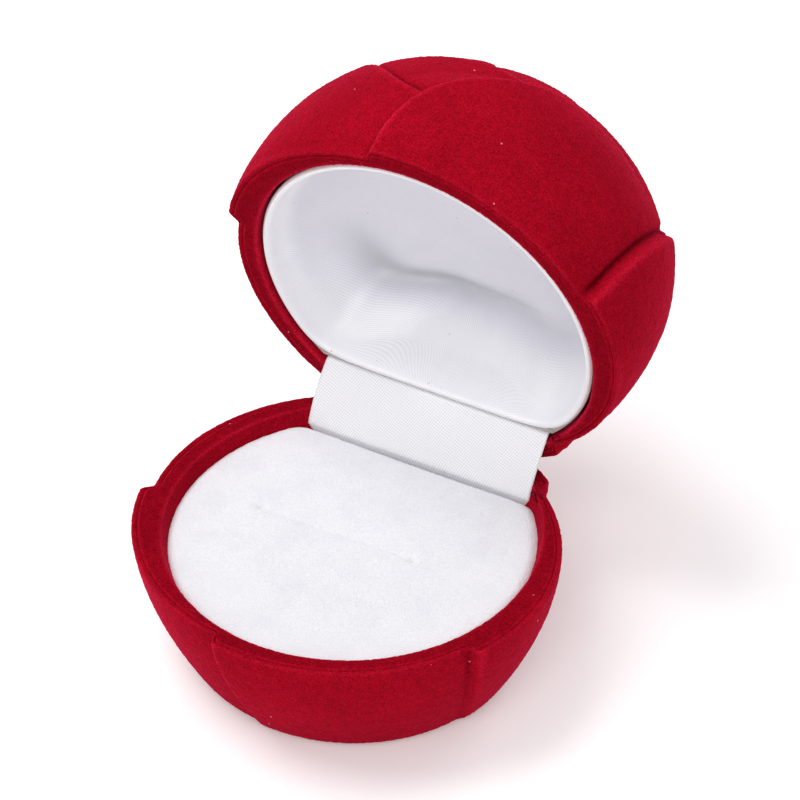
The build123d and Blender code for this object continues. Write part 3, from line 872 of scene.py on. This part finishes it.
def make_ribbon():
    """Satin ribbon across the hinge, tucked behind the pad and behind the lining."""
    s = sizes()
    exit_low = (s.ribbon_y, SEAM_Z - LOW_EXIT)
    exit_high = swing_point(s.ribbon_y, SEAM_Z + HIGH_EXIT)
    spans = 6
    bow = [s.ribbon_bulge * math.sin(math.pi * k / spans) ** 0.8 for k in range(spans)]
    rise = (exit_high[0] - exit_low[0], exit_high[1] - exit_low[1])
    route = smooth_line([
        (s.ribbon_y + 0.1 * MM, SEAM_Z - LOW_TUCK), (s.ribbon_y, SEAM_Z - LOW_BEND), exit_low,
        *[(exit_low[0] + rise[0] * k / spans - bow[k], exit_low[1] + rise[1] * k / spans + bow[k])
          for k in range(1, spans)],
        exit_high, swing_point(s.ribbon_y, SEAM_Z + HIGH_BEND),
        swing_point(s.ribbon_y + 0.2 * MM, SEAM_Z + HIGH_TUCK),
    ], 6)
    rows, columns = len(route), 97
    clear_selection()
    bpy.ops.mesh.primitive_grid_add(x_subdivisions=columns - 1, y_subdivisions=rows - 1, size=2.0)
    ribbon = bpy.context.object
    ribbon.name = "hinge_ribbon_cloth"
    co = vertices_of(ribbon)
    u, v = co[:, 0], (co[:, 1] + 1) / 2 * (rows - 1)
    index = np.clip(np.rint(v).astype(int), 0, rows - 1)
    x = u * s.ribbon_half_width
    y, z = route[index, 0], route[index, 1]
    mid = np.sin(np.pi * index / (rows - 1)) ** 2
    ease = 0.16 * MM * np.sin(x / (4.2 * MM) + 0.6) + 0.10 * MM * np.sin(x / (2.3 * MM) + 2.1)
    y, z = y - mid * ease * 0.7, z + mid * ease * 0.7
    move_vertices(ribbon, np.c_[x, y, z])
    lengths = np.r_[0, np.cumsum(np.hypot(*np.diff(route, axis=0).T))]
    lay_weave(ribbon, np.c_[x, lengths[index]])
    apply_modifier(ribbon, "SOLIDIFY", thickness=CLOTH_THICKNESS, offset=0.0)
    return ribbon, lengths[-1], exit_low, exit_high


# ------------------------------------------------------------------ materials
def new_material(name):
    material = bpy.data.materials.new(name)
    material.use_nodes = True
    tree = material.node_tree
    return material, tree, tree.nodes["Principled BSDF"]


def node(tree, kind, **values):
    n = tree.nodes.new(kind)
    for key, value in values.items():
        if key in n.inputs:
            n.inputs[key].default_value = value
        else:
            setattr(n, key, value)
    return n


def link(tree, a, b):
    tree.links.new(a, b)


def noise(tree, coords, scale, detail=3.0, roughness=0.5):
    n = node(tree, "ShaderNodeTexNoise", Scale=scale, Detail=detail, Roughness=roughness)
    link(tree, coords, n.inputs["Vector"])
    return n.outputs["Fac"]


def ramp(tree, fac, stops):
    n = tree.nodes.new("ShaderNodeValToRGB")
    link(tree, fac, n.inputs["Fac"])
    elements = n.color_ramp.elements
    for i, (place, colour) in enumerate(stops):
        e = elements[i] if i < 2 else elements.new(place)
        e.position = place
        e.color = (*colour, 1.0)
    return n.outputs["Color"]


def mix(tree, a, b, fac, blend="MIX"):
    n = tree.nodes.new("ShaderNodeMix")
    n.data_type = "RGBA"
    n.blend_type = blend
    for socket, value in (("Factor", fac), ("A", a), ("B", b)):
        target = next(i for i in n.inputs if i.name == socket and i.enabled)
        if hasattr(value, "links"):
            link(tree, value, target)
        elif socket == "Factor":
            target.default_value = value
        else:
            target.default_value = (*value, 1.0)
    return next(o for o in n.outputs if o.enabled)


def maths(tree, operation, a, b=0.0):
    n = node(tree, "ShaderNodeMath", operation=operation)
    for i, value in enumerate((a, b)):
        if hasattr(value, "links"):
            link(tree, value, n.inputs[i])
        else:
            n.inputs[i].default_value = value
    return n.outputs[0]


def bump(tree, bsdf, height, strength, distance):
    n = node(tree, "ShaderNodeBump", Strength=strength, Distance=distance)
    link(tree, height, n.inputs["Height"])
    link(tree, n.outputs["Normal"], bsdf.inputs["Normal"])


def object_coords(tree):
    return tree.nodes.new("ShaderNodeTexCoord").outputs["Object"]


def attribute(tree, name):
    return node(tree, "ShaderNodeAttribute", attribute_name=name).outputs["Fac"]


def grey(value):
    return (value, value, value)


def set_shader(bsdf, values):
    for name, value in values.items():
        bsdf.inputs[name].default_value = value


def specks(tree, coords, colour, fleck, density, size, patches, rarity, strength):
    """Colour with small round flecks on it, gathered in patches. density and patches are per metre,
    size and rarity thresholds from 0 to 1."""
    cells = node(tree, "ShaderNodeTexVoronoi", Scale=density)
    link(tree, coords, cells.inputs["Vector"])
    speck = maths(tree, "LESS_THAN", cells.outputs["Distance"], size)
    chosen = maths(tree, "GREATER_THAN", noise(tree, coords, patches, 1.0, 0.5), rarity)
    share = maths(tree, "MULTIPLY", maths(tree, "MULTIPLY", speck, chosen), strength)
    return mix(tree, colour, fleck, share)


def red_flock():
    """Short red flock, with painted shade where it lies in a fold and a painted highlight along raised
    edges; its sheen makes it bright at a glance.
    """
    f = finishes()
    material, tree, bsdf = new_material("red_flock")
    coords = object_coords(tree)
    crest = attribute(tree, "crest")
    # Painted shade in hollows and painted highlight on raised edges, set by the crest.
    deep, mid, bright = f.flock_painted_shade, f.flock_red, f.flock_painted_highlight
    colour = ramp(tree, crest, [(0.08, deep), (0.9, bright), (0.47, mid), (0.55, mid)])
    # painted shade by fold depth: a fold 4 mm deep is darkest, and one of 1 mm or less has the flock's own
    # colour
    sunk = maths(tree, "MULTIPLY", maths(tree, "ADD", attribute(tree, "fold_depth"), 4.0), 0.25)
    shade = ramp(tree, sunk, [(0.0, (0.35, 0.32, 0.32)), (0.75, grey(1.0))])
    colour = mix(tree, colour, shade, 1.0, "MULTIPLY")
    nap = noise(tree, coords, 5200.0, 2.0, 0.6)
    mottle = noise(tree, coords, 900.0, 4.0, 0.6)
    patch = noise(tree, coords, 110.0, 2.0, 0.5)
    for texture, stops, strength in (
        (nap, [(0.36, (0.22, 0.20, 0.22)), (0.64, (1.2, 1.15, 1.15))], 0.55),
        (mottle, [(0.30, grey(0.55)), (0.70, grey(1.0))], 0.42),
        (patch, [(0.35, grey(0.78)), (0.65, grey(1.0))], 0.5),
    ):
        colour = mix(tree, colour, ramp(tree, texture, stops), strength, "MULTIPLY")
    # a few pale lint specks caught in the pile
    colour = specks(tree, coords, colour, (0.80, 0.30, 0.32), 420.0, 0.055, 160.0, 0.60, 0.7)
    link(tree, colour, bsdf.inputs["Base Color"])
    set_shader(bsdf, {
        "Roughness": 0.92, "Specular IOR Level": 0.0, "Sheen Weight": 0.6, "Sheen Roughness": 0.32,
        "Sheen Tint": (0.90, 0.05, 0.13, 1.0),
    })
    pile = maths(tree, "ADD", nap, maths(tree, "MULTIPLY", mottle, 0.8))
    bump(tree, bsdf, pile, 0.55, 0.00016)
    return material


# Painted shade for where the pad lies in a crease.
PAD_CREASE_SHADE = (0.58, 0.58, 0.60)


def white_flock():
    """White flocked velvet of the ring pad."""
    f = finishes()
    material, tree, bsdf = new_material("white_flock")
    coords = object_coords(tree)
    crest = attribute(tree, "crest")
    nap = noise(tree, coords, 4300.0, 2.0, 0.6)
    cloud = noise(tree, coords, 240.0, 3.0, 0.55)
    colour = mix(tree, f.pad_shade, f.pad_white, ramp(tree, nap, [(0.3, grey(0.45)), (0.62, grey(1))]))
    # Random cloudy tone, and painted shade where the pad lies in a crease.
    for tone, texture, stops in (
        (f.pad_shade, cloud, [(0.45, grey(0)), (0.75, grey(0.35))]),
        (PAD_CREASE_SHADE, crest, [(0.05, grey(0.7)), (0.36, grey(0))]),
    ):
        colour = mix(tree, colour, tone, ramp(tree, texture, stops))
    link(tree, colour, bsdf.inputs["Base Color"])
    set_shader(bsdf, {
        "Roughness": 0.95, "Specular IOR Level": 0.1, "Sheen Weight": 0.35, "Sheen Roughness": 0.4,
    })
    bump(tree, bsdf, nap, 0.6, 0.00014)
    return material


# Tones of the lining's painted shade and of its plain middle.
SATIN_PAINTED_SHADE = (0.56, 0.565, 0.58)
SATIN_PLAIN = (0.87, 0.86, 0.895)
WAVE_SCALE = math.tau / 20.0   # the scale at which a wave texture repeats once a metre
CROSS_ANGLE = 84.0             # degrees between the satin's floats and its cross threads


def thread_lines(tree, uv, angle, pitch):
    """Stripes of one set of threads, at an angle in degrees and a pitch in metres."""
    turned = node(tree, "ShaderNodeMapping")
    turned.inputs["Rotation"].default_value = (0.0, 0.0, math.radians(angle))
    link(tree, uv, turned.inputs["Vector"])
    lines = node(tree, "ShaderNodeTexWave", Scale=WAVE_SCALE / pitch, Distortion=0.4)
    link(tree, turned.outputs["Vector"], lines.inputs["Vector"])
    return lines.outputs["Fac"]


def satin(name, pitch, slant, tint, thread_depth, painted_light_name=None):
    """White satin: fine slanting floats over a thread grid, with a silky highlight. thread_depth is
    how dark the gaps between threads are, and the last argument names an attribute that paints shade and
    highlight into it."""
    material, tree, bsdf = new_material(name)
    uv = node(tree, "ShaderNodeUVMap", uv_map=WEAVE_MAP).outputs["UV"]
    floats = thread_lines(tree, uv, slant, pitch)
    threads = thread_lines(tree, uv, slant + CROSS_ANGLE, 1.1 * pitch)
    weave = maths(tree, "ADD", maths(tree, "MULTIPLY", floats, 0.6), maths(tree, "MULTIPLY", threads, 0.4))
    cloud = noise(tree, uv, 260.0, 3.0, 0.5)
    shade = tuple((1 - thread_depth) * c for c in tint)
    soft = tuple(0.9 * c for c in tint)
    colour = mix(tree, shade, tint, ramp(tree, weave, [(0.12, grey(0.1)), (0.62, grey(1))]))
    colour = mix(tree, colour, soft, ramp(tree, cloud, [(0.4, grey(0)), (0.7, grey(0.4))]))
    # Painted shade and painted highlight from the lining's attribute.
    if painted_light_name:
        silk = attribute(tree, painted_light_name)
        tone = ramp(tree, silk, [(0.0, SATIN_PAINTED_SHADE), (PAINTED_LIGHT_PLAIN, SATIN_PLAIN), (1.0, grey(1))])
        colour = mix(tree, colour, tone, 1.0, blend="MULTIPLY")
    # stray red flock fibres caught in the weave
    colour = specks(tree, uv, colour, (0.62, 0.16, 0.20), 520.0, 0.07, 330.0, 0.57, 0.5)
    link(tree, colour, bsdf.inputs["Base Color"])
    set_shader(bsdf, {
        "Roughness": 0.30, "Specular IOR Level": 0.8, "Sheen Weight": 0.25, "Sheen Roughness": 0.5,
    })
    bump(tree, bsdf, weave, 0.25, 0.00006)
    return material


def plated_steel():
    """Brushed plated steel of the hinge."""
    material, tree, bsdf = new_material("plated_steel")
    coords = object_coords(tree)
    stretch = node(tree, "ShaderNodeMapping")
    stretch.inputs["Scale"].default_value = (0.06, 1.0, 1.0)
    link(tree, coords, stretch.inputs["Vector"])
    brushed = noise(tree, stretch.outputs["Vector"], 9000.0, 3.0, 0.6)
    tone = ramp(tree, brushed, [(0.3, (0.50, 0.49, 0.47)), (0.7, (0.72, 0.71, 0.69))])
    link(tree, tone, bsdf.inputs["Base Color"])
    bsdf.inputs["Metallic"].default_value = 1.0
    rough = node(tree, "ShaderNodeMapRange", **{"To Min": 0.24, "To Max": 0.46})
    link(tree, brushed, rough.inputs["Value"])
    link(tree, rough.outputs["Result"], bsdf.inputs["Roughness"])
    bump(tree, bsdf, brushed, 0.15, 0.00005)
    return material


def grey_card():
    """Plain pressed card."""
    material, tree, bsdf = new_material("grey_card")
    coords = object_coords(tree)
    fibre = noise(tree, coords, 2400.0, 5.0, 0.7)
    tone = ramp(tree, fibre, [(0.3, (0.44, 0.41, 0.37)), (0.7, (0.60, 0.57, 0.52))])
    link(tree, tone, bsdf.inputs["Base Color"])
    bsdf.inputs["Roughness"].default_value = 0.9
    bump(tree, bsdf, fibre, 0.3, 0.0001)
    return material


def dress(obj, material):
    obj.data.materials.clear()
    obj.data.materials.append(material)


# ------------------------------------------------------------------ settings
def length_setting(name, description, default):
    return FloatProperty(name=name, description=description, default=default, unit="LENGTH")


def colour_setting(name, description, default):
    return FloatVectorProperty(
        name=name, description=description, subtype="COLOR", size=3, min=0.0, max=1.0, default=default)


class RoseBoxSizes(bpy.types.PropertyGroup):
    """Sizes of the box, in metres and degrees."""

    rim_half_width: length_setting("Rim half width", "Half the rim's width", 0.026)
    rim_half_depth: length_setting("Rim half depth", "Half the rim's depth", 0.02425)
    opening_radius: length_setting("Opening radius", "Radius of the opening inside the rim", 0.0228)
    opening_centre_y: length_setting("Opening centre", "How far back the opening's centre is", 0.0008)
    rear_wall: length_setting("Rear wall", "Thickness of the straight rear wall", 0.0022)
    seam_gap: length_setting("Seam gap", "Gap between the closed rims", 0.0002)
    foot_taper: FloatProperty(
        name="Foot taper", description="Share by which the foot is narrower than the rim", default=0.24)
    foot_rounding: length_setting("Foot rounding", "Radius of the foot's edge", 0.0012)
    lap_drift: FloatProperty(
        name="Lap drift", description="Degrees by which the petal edges drift towards the foot", default=6.0)
    notch_half_width: length_setting("Notch half width", "Half the width of the hinge notch", 0.0085)
    notch_depth: length_setting("Notch depth", "Depth of the hinge notch", 0.0017)
    pad_rear_y: length_setting("Pad rear", "Straight rear edge of the pad", 0.0166)
    pad_crown: length_setting("Pad crown", "How far the pad swells in its middle", 0.0011)
    lining_rear_y: length_setting("Lining rear", "Straight rear edge of the lining", 0.0160)
    lining_depth: length_setting("Lining depth", "Depth of the lid's lining", 0.0148)
    lining_radius: length_setting("Lining radius", "Radius of the lining's mouth", 0.0215)
    lining_centre_y: length_setting("Lining centre", "How far back the lining's centre is", 0.0008)
    ribbon_half_width: length_setting("Ribbon half width", "Half the ribbon's width", 0.0153)
    ribbon_y: length_setting("Ribbon place", "Where the ribbon is tucked in", 0.01705)
    ribbon_bulge: length_setting("Ribbon bulge", "How far the ribbon bows out", 0.00035)


class RoseBoxFinishes(bpy.types.PropertyGroup):
    """Colours of the box."""

    flock_red: colour_setting("Flock red", "Main colour of the flock", (0.44, 0.0040, 0.0170))
    # The deep and bright flock colours are painted shade in the folds and a painted highlight along raised
    # edges.
    flock_painted_shade: colour_setting("Flock deep", "Colour down in the folds", (0.13, 0.0010, 0.0050))
    flock_painted_highlight: colour_setting("Flock bright", "Colour along raised edges", (0.66, 0.0100, 0.0380))
    pad_white: colour_setting("Pad white", "Pile of the pad", (0.78, 0.78, 0.805))
    pad_shade: colour_setting("Pad shade", "Between the pad's pile", (0.64, 0.64, 0.68))
    satin_white: colour_setting("Satin white", "Threads of the satin", (0.955, 0.955, 0.98))
    floor_white: colour_setting("Floor", "Pale floor", (0.93, 0.925, 0.93))


# ------------------------------------------------------------------ operators
class ROSEBOX_OT_bowl(bpy.types.Operator):
    """Press the petalled bowl with its flocked rim"""

    bl_idname = "rosebox.bowl"
    bl_label = "Base bowl"

    def execute(self, context):
        bowl = make_bowl()
        apply_modifier(bowl, "SMOOTH", factor=0.5, iterations=1)
        # Crest, from which the flock's colour paints shade in hollows and a highlight on raised edges.
        crest_attribute(bowl)
        point_attribute(bowl, "fold_depth", land_shade(bowl, -1))
        flock_roughness(bowl, FLOCK_NUDGE, 5)
        shade_smooth(bowl)
        dress(bowl, material_named("red_flock", red_flock))
        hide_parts("base_shell")
        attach(bowl, "base")
        return {"FINISHED"}


class ROSEBOX_OT_rose_lid(bpy.types.Operator):
    """Press the rose lid, with its bud and layers of lapping petals"""

    bl_idname = "rosebox.rose_lid"
    bl_label = "Rose lid"

    def execute(self, context):
        lid = make_rose_lid()
        shade_smooth(lid)
        dress(lid, material_named("red_flock", red_flock))
        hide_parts("lid_shell")
        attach(lid, "lid")
        return {"FINISHED"}


class ROSEBOX_OT_pad(bpy.types.Operator):
    """Make the flocked ring pad with its slit"""

    bl_idname = "rosebox.pad"
    bl_label = "Ring pad"

    def execute(self, context):
        pad = make_pad()
        shade_smooth(pad)
        dress(pad, material_named("white_flock", white_flock))
        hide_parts("pad_velvet", "pad_foam")
        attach(pad, "base")
        return {"FINISHED"}


class ROSEBOX_OT_lining(bpy.types.Operator):
    """Draw the satin lining over the lid's cup"""

    bl_idname = "rosebox.lining"
    bl_label = "Satin lining"

    def execute(self, context):
        lining = make_lining()
        shade_smooth(lining)
        dress(lining, satin("lining_satin", 0.00029, 52.0, finishes().satin_white, 0.16, "silk"))
        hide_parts("lid_satin", "lid_wadding")
        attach(lining, "lid")
        return {"FINISHED"}


class ROSEBOX_OT_ribbon(bpy.types.Operator):
    """Lay the satin ribbon across the hinge"""

    bl_idname = "rosebox.ribbon"
    bl_label = "Hinge ribbon"

    def execute(self, context):
        ribbon, length, exit_low, exit_high = make_ribbon()
        shade_smooth(ribbon)
        dress(ribbon, satin("ribbon_satin", 0.00030, 24.0, finishes().satin_white, 0.26))
        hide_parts("hinge_ribbon")
        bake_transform(ribbon)
        return {"FINISHED"}


class ROSEBOX_OT_hinge(bpy.types.Operator):
    """Give the hinge, its spring and the hidden card their finishes"""

    bl_idname = "rosebox.hinge"
    bl_label = "Hinge and card"

    def execute(self, context):
        steel = material_named("plated_steel", plated_steel)
        card = material_named("grey_card", grey_card)
        for name in ("base_hinge_leaf", "lid_hinge_leaf", "base_hinge_rivets", "lid_hinge_rivets",
                     "hinge_pin", "snap_spring"):
            dress(bpy.data.objects[name], steel)
        for name in ("pad_card", "lid_card_cup"):
            dress(bpy.data.objects[name], card)
        return {"FINISHED"}


class ROSEBOX_OT_studio(bpy.types.Operator):
    """Set the pale floor, the soft lights and the camera"""

    bl_idname = "rosebox.studio"
    bl_label = "Studio"

    def execute(self, context):
        make_studio()
        return {"FINISHED"}


# ------------------------------------------------------------------ studio
FLOOR_SIZE = 6.0
BOX_MIDDLE = (0.0, 0.01, 0.03)
# name, place, diameter in metres and power in watts
LIGHTS = (
    ("key", (-0.32, -0.02, 0.64), 0.50, 3.1),
    ("fill", (0.24, -0.50, 0.64), 0.50, 1.9),
    ("back", (0.18, 0.62, 0.40), 0.36, 0.9),
)
CAMERA_SENSOR, CAMERA_LENS = 36.0, 245.7 * 1.3   # millimetres
CAMERA_REACH = 20.0
CAMERA_PLACE = (0.3225, -0.5417, 0.5853)
CAMERA_AIM = (0.0019, 0.0097, 0.0316)
CAMERA_ROLL = math.radians(1.49)


def material_named(name, maker):
    return bpy.data.materials.get(name) or maker()


def aim(obj, target):
    obj.rotation_euler = (Vector(target) - obj.location).to_track_quat("-Z", "Y").to_euler()


def area_light(name, place, target, size, power):
    light = bpy.data.lights.new(name, "AREA")
    light.shape = "DISK"
    light.size = size
    light.energy = power
    obj = bpy.data.objects.new(name, light)
    bpy.context.collection.objects.link(obj)
    obj.location = place
    aim(obj, target)


def make_studio():
    f = finishes()
    clear_selection()
    bpy.ops.mesh.primitive_plane_add(size=FLOOR_SIZE, location=(0, 0, 0))
    floor = bpy.context.object
    floor.name = "studio_floor"
    material, _, bsdf = new_material("pale_floor")
    white = (*f.floor_white, 1.0)
    set_shader(bsdf, {
        "Base Color": white, "Roughness": 0.45, "Specular IOR Level": 0.25, "Emission Color": white,
        "Emission Strength": 0.22,
    })
    dress(floor, material)
    world = bpy.data.worlds.new("studio_world")
    bpy.context.scene.world = world
    world.use_nodes = True
    set_shader(world.node_tree.nodes["Background"], {"Color": (0.97, 0.975, 1.0, 1.0), "Strength": 0.52})
    for name, place, size, power in LIGHTS:
        area_light(name, place, BOX_MIDDLE, size, power)
    bpy.context.scene.view_settings.view_transform = "Standard"
    camera = bpy.data.cameras.new("camera")
    camera.lens = CAMERA_LENS
    camera.sensor_width = CAMERA_SENSOR
    camera.clip_end = CAMERA_REACH
    camera_object = bpy.data.objects.new("camera", camera)
    bpy.context.collection.objects.link(camera_object)
    camera_object.location = CAMERA_PLACE
    aim(camera_object, CAMERA_AIM)
    camera_object.rotation_euler.rotate_axis("Z", -CAMERA_ROLL)
    bpy.context.scene.camera = camera_object


class ROSEBOX_PT_panel(bpy.types.Panel):
    """Sidebar panel that lists the pieces"""

    bl_idname = "ROSEBOX_PT_panel"
    bl_label = "Rose ring box"
    bl_space_type = "VIEW_3D"
    bl_region_type = "UI"
    bl_category = "Rose box"

    def draw(self, context):
        layout = self.layout
        for group in (context.scene.rose_box_sizes, context.scene.rose_box_finishes):
            column = layout.column()
            for name in group.bl_rna.properties.keys():
                if name not in ("rna_type", "name"):
                    column.prop(group, name)
        for operator in OPERATORS:
            layout.operator(operator.bl_idname)


OPERATORS = (
    ROSEBOX_OT_studio, ROSEBOX_OT_bowl, ROSEBOX_OT_rose_lid, ROSEBOX_OT_pad, ROSEBOX_OT_lining,
    ROSEBOX_OT_ribbon, ROSEBOX_OT_hinge,
)
CLASSES = (RoseBoxSizes, RoseBoxFinishes, *OPERATORS, ROSEBOX_PT_panel)


def register():
    for cls in CLASSES:
        bpy.utils.register_class(cls)
    bpy.types.Scene.rose_box_sizes = PointerProperty(type=RoseBoxSizes)
    bpy.types.Scene.rose_box_finishes = PointerProperty(type=RoseBoxFinishes)


def unregister():
    del bpy.types.Scene.rose_box_finishes
    del bpy.types.Scene.rose_box_sizes
    for cls in reversed(CLASSES):
        bpy.utils.unregister_class(cls)


def main():
    register()
    for operator in OPERATORS:
        group, name = operator.bl_idname.split(".")
        getattr(getattr(bpy.ops, group), name)()


if __name__ == "__main__":
    main()
